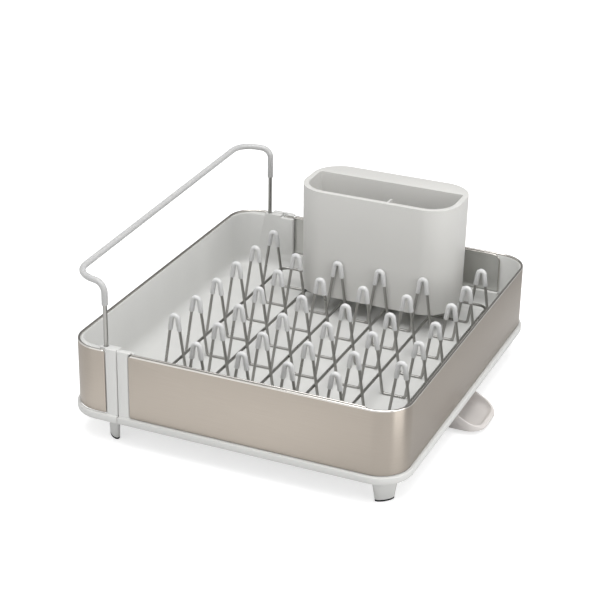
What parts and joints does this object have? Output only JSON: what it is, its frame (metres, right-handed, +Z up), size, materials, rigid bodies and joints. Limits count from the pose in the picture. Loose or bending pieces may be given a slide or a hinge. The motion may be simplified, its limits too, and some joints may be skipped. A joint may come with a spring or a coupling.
{
  "type": "expandable dish drainer",
  "caption": "Worktop dish drainer with telescoping steel-banded trays, a wire plate rack with soft-tipped prongs, a cutlery pot, a coated glass rail and a pull-out drain spout.",
  "frame": {"origin": "on the worktop, under the middle of the closed drainer's bounding box, with the spout drawn out", "axes": "+Z up, +X along the front towards the fixed end and its spout, +Y towards the back, where the cutlery pot stands"},
  "size_m": [0.3482, 0.369, 0.1726],
  "materials": {
    "tray_plastic": "moulded, fine satin",
    "steel": "brushed along the band",
    "panel_steel": "brushed, with a rolled edge",
    "wire": "polished wire",
    "coating": "soft, slightly glossy",
    "pot_plastic": "moulded, fine satin",
    "rubber": "matt"
  },
  "bodies": {
    "base": {"main_tray": "tray_plastic", "main_band": "steel", "main_pad_front_right": "rubber", "main_pad_back_right": "rubber", "main_pad_front_left": "rubber", "main_pad_back_left": "rubber"},
    "extension": {"extension_tray": "tray_plastic", "extension_band": "steel", "front_panel": "panel_steel", "back_panel": "panel_steel", "extension_pad_front": "rubber", "extension_pad_back": "rubber"},
    "rack": {"rack_frame": "wire", "cross_wire_1": "wire", "cross_wire_2": "wire", "cross_wire_3": "wire", "cross_wire_4": "wire", "cross_wire_5": "wire", "cross_wire_6": "wire", "cross_wire_7": "wire", "prong_tip_1b": "coating", "prong_tip_1c": "coating", "prong_tip_1d": "coating", "prong_tip_1e": "coating", "prong_tip_2a": "coating", "prong_tip_2b": "coating", "prong_tip_2c": "coating", "prong_tip_2d": "coating", "prong_tip_2e": "coating", "prong_tip_2f": "coating", "prong_tip_3a": "coating", "prong_tip_3b": "coating", "prong_tip_3c": "coating", "prong_tip_3d": "coating", "prong_tip_3e": "coating", "prong_tip_3f": "coating", "prong_tip_4a": "coating", "prong_tip_4b": "coating", "prong_tip_4c": "coating", "prong_tip_4d": "coating", "prong_tip_4e": "coating", "prong_tip_4f": "coating", "prong_tip_5a": "coating", "prong_tip_5b": "coating", "prong_tip_5c": "coating", "prong_tip_5d": "coating", "prong_tip_5e": "coating", "prong_tip_5f": "coating", "prong_tip_6a": "coating", "prong_tip_6b": "coating", "prong_tip_6c": "coating", "prong_tip_6d": "coating", "prong_tip_6e": "coating", "prong_tip_6f": "coating", "prong_tip_7a": "coating", "prong_tip_7f": "coating"},
    "pot": {"cutlery_pot": "pot_plastic"},
    "rail": {"rail_wire": "wire", "rail_sleeve": "coating"},
    "spout": {"spout": "tray_plastic"}
  },
  "joints": [
    {"name": "extension_slide", "type": "slide", "parent": "base", "child": "extension", "axis": [-1, 0, 0], "range_m": [0, 0.2]},
    {"name": "rack_lift", "type": "slide", "parent": "extension", "child": "rack", "axis": [0, 0, 1], "range_m": [0, 0.1]},
    {"name": "pot_lift", "type": "slide", "parent": "rack", "child": "pot", "axis": [0, 0, 1], "range_m": [0, 0.12]},
    {"name": "rail_lift", "type": "slide", "parent": "extension", "child": "rail", "axis": [0, 0, 1], "range_m": [0, 0.045]},
    {"name": "spout_slide", "type": "slide", "parent": "base", "child": "spout", "axis": [-1, 0, 0], "range_m": [0, 0.022]}
  ]
}
